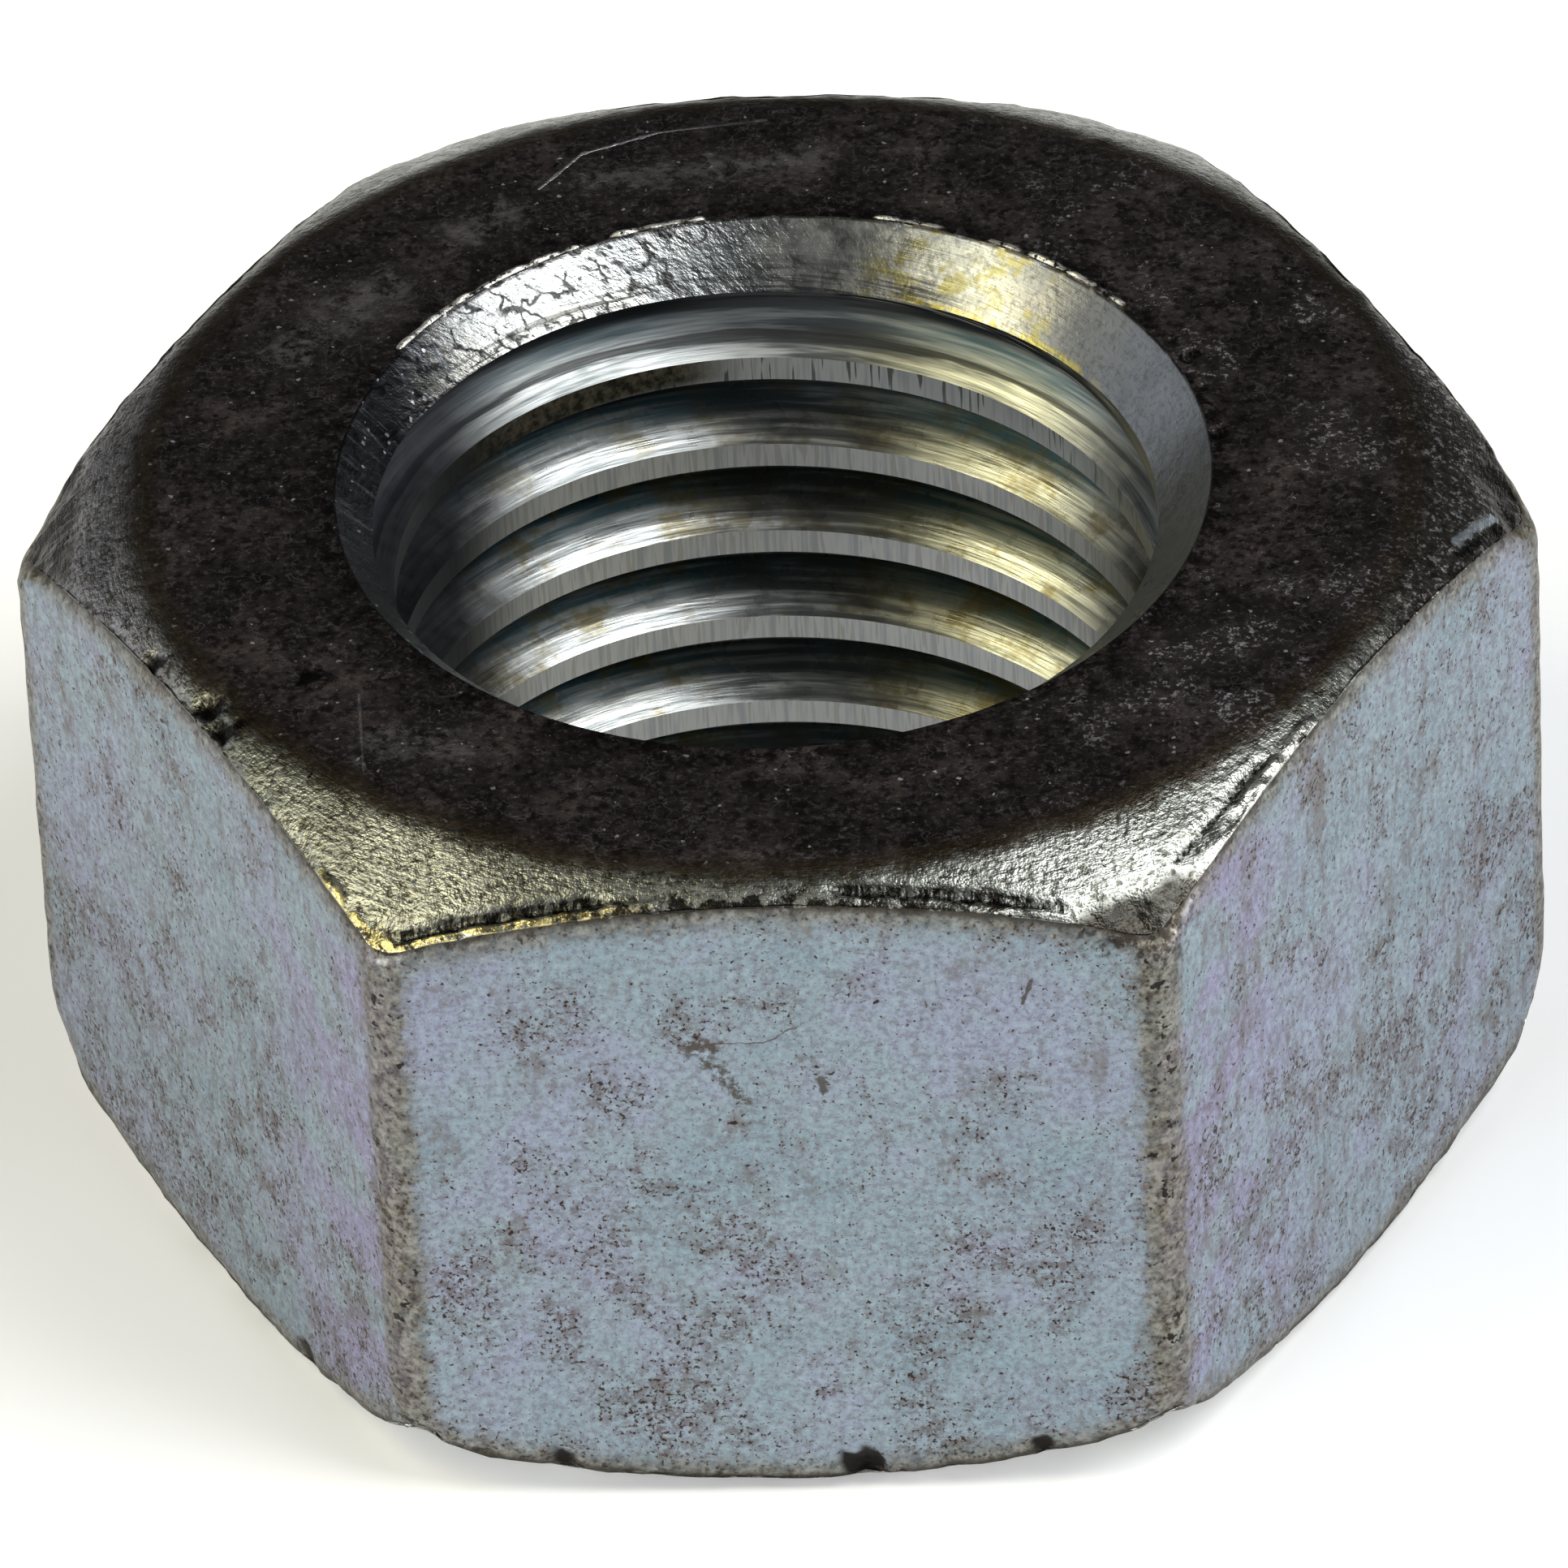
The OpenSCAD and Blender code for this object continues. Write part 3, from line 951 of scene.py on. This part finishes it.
def mouth_finish():
    """The countersinks: scaly where the tool chattered, smooth at the right, with painted shade in the
    middle and at the left and right ends, and a ragged painted shade line along the rim.
    """
    n = Nodes("zinc_countersink")
    spot = n.position()
    lay = n.attribute("layout", "Vector")
    edge = n.attribute("edge", "Fac")
    x = n.part(spot, 0)
    cloud = n.noise(spot, 0.6, 3.0, 0.6)
    cloud_tones = [(0.3, rgb(150, 154, 156)), (0.55, rgb(186, 188, 186)), (0.72, rgb(196, 194, 186))]
    tone = n.ramp(cloud, cloud_tones)
    around = n.part(lay, 0)
    slanted = n.node("ShaderNodeCombineXYZ")
    n.put(slanted.inputs[0], n.plus(n.times(around, 4.5), n.times(edge, 3.5)))
    n.put(slanted.inputs[1], n.times(edge, 4.5))
    scales = n.noise(slanted.outputs[0], 0.8, 3.0, 0.7)
    chatter = n.span(x, 5.0, -3.0)
    jagged = n.scaled(n.wander(spot, 2.5), (0.9, 0.9, 0.0))
    jagged = n.moved(jagged, n.scaled(slanted.outputs[0], (0.42, 0.42, 0.0)))
    cracks = n.span(n.cells(jagged, 1.0, "DISTANCE_TO_EDGE"), 0.1, 0.03)
    cracks = n.times(cracks, n.span(n.noise(spot, 1.6, 2.0), 0.4, 0.55))
    flecks = either(n, cracks, n.span(scales, 0.6, 0.68))
    tone = n.mix(n.times(flecks, n.span(chatter, 0, 1, 0.25, 0.93)), tone, rgb(28, 28, 27))
    rings = n.noise(n.scaled(lay, (0.35, 10.0, 0.0)), 1.0, 3.0, 0.7)
    low_end = n.span(edge, 0.4, 1.1)
    low_end = n.times(low_end, n.span(x, 5.0, 3.0))
    tone = n.mix(n.times(n.span(rings, 0.46, 0.6), low_end), tone, rgb(48, 46, 42))
    # Painted shade: darker in the middle, at the left and at the right
    middle = n.span(n.unsigned(n.minus(x, 0.3)), 4.0, 1.0, 0.0, 0.6)
    tone = n.mix(middle, tone, rgb(104, 106, 106))
    tone = n.mix(n.span(x, -6.4, -8.7, 0.0, 0.93), tone, rgb(36, 36, 42))
    tone = n.mix(n.span(x, 4.0, 7.0, 0.0, 0.85), tone, rgb(86, 87, 93))
    grains = n.noise(spot, 7.0, 2.0, 0.75)
    grained = n.times(n.span(grains, 0.5, 0.36), n.span(x, 2.0, 5.0, 0.0, 0.4))
    tone = n.mix(grained, tone, rgb(64, 66, 60))
    # Painted warm glints along the cone's lower edge on the right
    warm_glints = n.times(n.span(edge, 1.1, 1.2), n.span(n.noise(spot, 2.5, 3.0, 0.7), 0.38, 0.55))
    warm_glints = n.times(warm_glints, n.times(n.span(x, 2.0, 4.0), n.span(x, 7.6, 6.6)))
    tone = n.mix(n.times(warm_glints, 0.7), tone, rgb(168, 156, 70))
    stained = n.times(n.span(x, 1.0, 3.0, 0.0, 0.75), n.span(x, 7.0, 5.5))
    stain = n.times(n.span(n.noise(spot, 1.3, 3.0, 0.7), 0.5, 0.62), stained)
    tone = n.mix(stain, tone, rgb(142, 136, 84))
    ticks = n.noise(n.scaled(lay, (5.0, 0.7, 0.0)), 1.0, 3.0, 0.7)
    ticks = n.times(n.span(ticks, 0.54, 0.66), n.span(x, -6.3, -8.0, 0.0, 0.6))
    tone = n.mix(ticks, tone, rgb(130, 136, 142))
    # Painted shade: a dark line in the groove where the rim's burr meets the cone
    rim_groove_shade = n.times(n.span(edge, 0.07, 0.02), n.span(n.noise(spot, 2.0, 2.0), 0.35, 0.5, 0.3, 1))
    tone = n.mix(n.times(rim_groove_shade, 0.85), tone, rgb(20, 20, 22))
    # Painted glints on the dark left part
    glints = n.times(specks(n, spot, 4.0, 0.4, 0.3), n.span(x, -6.5, -8.0))
    tone = n.mix(glints, tone, rgb(225, 228, 235))
    rough = n.span(n.noise(spot, 2.0, 2.0), 0.3, 0.7, 0.26, 0.36)
    height = n.times(scales, n.span(chatter, 0, 1, 0.25, 1))
    normal = n.bump(n.plus(height, n.times(rings, 0.3)), 0.7, 0.06)
    return n.finish(tone, rough, normal)


def thread_base(n, spot, lay):
    """Zinc along the thread: drawn out round the bore, with painted shade in the roots, the middle and
    the ends, a painted warm reflection on the right, and stained in places.

    Gives the streaks, the distance from the nearest root's middle in turns, and the colour.
    """
    streak = n.noise(n.scaled(lay, (0.3, 9.0, 0.0)), 1.0, 3.0, 0.6)
    zinc_tones = [(0.32, rgb(128, 132, 132)), (0.5, rgb(196, 200, 200)), (0.68, rgb(224, 226, 222))]
    tone = n.ramp(streak, zinc_tones)
    x, height = n.part(spot, 0), n.part(spot, 2)
    turns = n.math("DIVIDE", n.part(lay, 1), PITCH)
    from_root = n.unsigned(n.minus(turns, n.math("ROUND", turns)))
    # Painted shade towards each root, tinted blue-green, weaker in the top turn
    teal_root_shade = n.times(n.span(from_root, 0.26, 0.15), n.span(streak, 0.65, 0.4, 0.3, 0.9))
    tone = n.mix(n.times(teal_root_shade, n.span(height, 15.6, 14.0, 0.3, 1.0)), tone, rgb(70, 112, 126))
    # Painted shade in each root
    tone = n.mix(n.span(from_root, 0.1, 0.055, 0.0, 0.9), tone, rgb(34, 56, 64))
    # Painted shadow: near black in the roots of the top turn, under the countersink
    first_root_shadow = n.times(n.span(from_root, 0.15, 0.09), n.span(height, 14.2, 14.6))
    tone = n.mix(n.times(first_root_shadow, 0.95), tone, rgb(10, 14, 18))
    torn = n.unsigned(n.minus(n.plus(from_root, n.times(streak, 0.1)), 0.31))
    torn = n.times(n.span(torn, 0.03, 0.012), n.span(height, 13.6, 14.2))
    tone = n.mix(n.times(torn, 0.85), tone, rgb(36, 38, 38))
    stained = n.times(n.span(n.noise(spot, 0.8, 4.0, 0.7), 0.46, 0.64), n.span(height, 14.0, 11.0))
    tone = n.mix(n.times(stained, 0.7), tone, rgb(128, 112, 48))
    # Painted warm reflection: the right side is tinted yellow
    warm_reflection = n.times(n.span(x, 0.5, 2.5), n.span(x, 7.5, 5.5))
    tone = n.mix(n.times(warm_reflection, 0.45), tone, rgb(255, 248, 200), "MULTIPLY")
    # Painted shade: darker grey in the middle of the far wall
    darkened = n.span(n.unsigned(n.minus(x, 0.4)), 3.6, 1.2, 0.0, 0.8)
    tone = n.mix(n.times(darkened, n.span(streak, 0.62, 0.45, 0.35, 1.0)), tone, rgb(92, 94, 94))
    # Painted shade on the bore's left and right walls
    ends = either(n, n.span(x, -5.2, -7.8, 0, 0.95), n.span(x, 6.0, 8.4, 0, 0.85))
    return streak, from_root, n.mix(ends, tone, rgb(34, 36, 42))


def thread_finish():
    """The thread's flanks: bright by the crest, painted darker and less metallic towards the root."""
    n = Nodes("zinc_thread_flank")
    lay = n.attribute("layout", "Vector")
    spot = n.position()
    streak, from_root, tone = thread_base(n, spot, lay)
    rough = n.span(n.noise(spot, 1.5, 2.0), 0.3, 0.7, 0.24, 0.34)
    first = n.span(n.part(spot, 2), 13.6, 14.4, 0.0, 0.13)
    normal = n.bump(streak, 0.5, 0.03)
    metallic = n.span(from_root, 0.14, 0.3, 0.25, 0.9)
    return n.finish(tone, n.plus(rough, first), normal, metallic)


def crest_finish():
    """The thread's crests: smooth and grey, scored upright, brown and torn where the thread starts."""
    n = Nodes("zinc_thread_crest")
    lay = n.attribute("layout", "Vector")
    spot = n.position()
    streak = n.noise(n.scaled(lay, (5.0, 0.3, 0.0)), 1.0, 2.0, 0.6)
    zinc_tones = [(0.35, rgb(205, 209, 212)), (0.5, rgb(236, 238, 238)), (0.65, rgb(244, 244, 240))]
    tone = n.ramp(streak, zinc_tones)
    x, height = n.part(spot, 0), n.part(spot, 2)
    upper = n.span(height, 11.5, 14.5)
    scored = n.times(n.span(streak, 0.56, 0.6), n.span(upper, 0, 1, 0.25, 0.8))
    darkened = n.times(upper, n.span(x, 0.0, 4.0, 0.15, 0.6))
    tone = n.mix(darkened, tone, rgb(120, 126, 126))
    tone = n.mix(scored, tone, rgb(48, 56, 58))
    rings = n.noise(n.scaled(lay, (0.3, 12.0, 0.0)), 1.0, 2.0, 0.6)
    ringed = n.mix(n.span(rings, 0.5, 0.62), rgb(34, 38, 40), rgb(160, 158, 146))
    tone = n.mix(n.span(height, 15.0, 15.2), tone, ringed)
    torn = n.times(n.span(height, 13.2, 13.8), n.span(x, -0.6, -2.4))
    rust = n.ramp(n.noise(spot, 4.0, 3.0, 0.7), [(0.4, rgb(52, 50, 42)), (0.65, rgb(120, 114, 96))])
    tone = n.mix(torn, tone, rust)
    # Painted shade on the bore's left and right walls
    ends = either(n, n.span(x, -5.6, -7.6, 0, 0.95), n.span(x, 6.4, 8.4, 0, 0.85))
    tone = n.mix(ends, tone, rgb(34, 38, 40))
    normal = n.bump(streak, 0.3, 0.02)
    return n.finish(tone, 0.4, normal, metallic=0.85)


# ---------------------------------------------------------------- the object

nut = build_nut()
for finish in (top_finish, flat_finish, mouth_finish, thread_finish, crest_finish):
    nut.data.materials.append(finish())
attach(nut, "root")
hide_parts("hex_nut")

# ---------------------------------------------------------------- floor, light and camera

CENTRE = Vector((0, 0, HEIGHT / 2 * MM))


def stage_floor():
    """A plain white floor, faintly lit from within so that the nut's shadow stays soft."""
    size = 1.5
    floor = bpy.data.meshes.new("floor")
    corners = [(-size, -size, 0), (size, -size, 0), (size, size, 0), (-size, size, 0)]
    floor.from_pydata(corners, [], [(0, 1, 2, 3)])
    made = bpy.data.objects.new("floor", floor)
    bpy.context.scene.collection.objects.link(made)
    n = Nodes("pale_floor")
    n.finish((0.96, 0.96, 0.96, 1.0), 0.7, None, metallic=0.0)
    n.shader.inputs["Emission Color"].default_value = (1.0, 1.0, 1.0, 1.0)
    n.shader.inputs["Emission Strength"].default_value = 0.1
    floor.materials.append(n.material)


# Each light: direction from the nut, distance and size in metres, power in watts and colour
COOL_WHITE = (0.97, 0.98, 1.0)
LIGHTS = {
    "right_box": ((0.57, -0.16, 0.81), 0.6, (0.34, 0.36), 2.6, (0.98, 1.0, 1.0)),
    "left_box": ((-0.62, -0.12, 0.77), 0.6, (0.28, 0.32), 1.3, (1.0, 0.94, 0.65)),
    "left_fill": ((-0.8, -0.62, 0.24), 1.0, (0.9, 0.26), 10, COOL_WHITE),
    "back_fill": ((-0.86, 0.36, 0.33), 1.0, (0.75, 0.45), 1.2, (0.92, 0.98, 1.0)),
    "right_fill": ((1.0, -0.35, 0.16), 1.0, (0.9, 0.22), 9.3, COOL_WHITE),
}


def softbox(name, direction, distance, size, power, colour):
    """A rectangular light that faces the nut from the given direction."""
    data = bpy.data.lights.new(name, "AREA")
    data.shape = "RECTANGLE"
    data.size, data.size_y = size
    data.energy = power
    data.color = colour
    lamp = bpy.data.objects.new(name, data)
    way = Vector(direction).normalized()
    lamp.location = CENTRE + way * distance
    lamp.rotation_mode = "QUATERNION"
    lamp.rotation_quaternion = way.to_track_quat("Z", "Y")
    bpy.context.scene.collection.objects.link(lamp)


# The camera: high in front, a little to the right and slightly rolled, as in the photograph
AZIMUTH = math.radians(2.35)
ELEVATION = math.radians(38.1)
ROLL = math.radians(-2.86)
DISTANCE = 0.3959
LENS = 398.9
# How far left of the nut's centre, and how far below it, the camera aims
AIM_LEFT = 0.086 * MM
AIM_DOWN = 0.15 * MM


def make_camera():
    right = Vector((math.cos(AZIMUTH), math.sin(AZIMUTH), 0))
    front = Vector((math.sin(AZIMUTH), -math.cos(AZIMUTH), 0))
    back = front * math.cos(ELEVATION) + Vector((0, 0, math.sin(ELEVATION)))
    up = back.cross(right)
    rolled_right = right * math.cos(ROLL) + up * math.sin(ROLL)
    rolled_up = up * math.cos(ROLL) - right * math.sin(ROLL)
    place = CENTRE - rolled_right * AIM_LEFT - rolled_up * AIM_DOWN + back * DISTANCE
    camera = bpy.data.objects.new("camera", bpy.data.cameras.new("camera"))
    camera.data.lens = LENS
    camera.data.sensor_width = 36
    camera.data.clip_start = 0.01
    camera.data.clip_end = 10
    turned = Matrix((rolled_right, rolled_up, back)).transposed().to_4x4()
    camera.matrix_world = Matrix.Translation(place) @ turned
    bpy.context.scene.collection.objects.link(camera)
    bpy.context.scene.camera = camera


def make_world():
    """Dim, even light from everywhere."""
    world = bpy.data.worlds.new("studio")
    world.use_nodes = True
    world.node_tree.nodes["Background"].inputs[0].default_value = (0.1, 0.1, 0.105, 1)
    world.node_tree.nodes["Background"].inputs[1].default_value = 1.0
    bpy.context.scene.world = world


stage_floor()
for light_name, light in LIGHTS.items():
    softbox(light_name, *light)
make_world()
make_camera()
bpy.context.scene.view_settings.view_transform = "Standard"
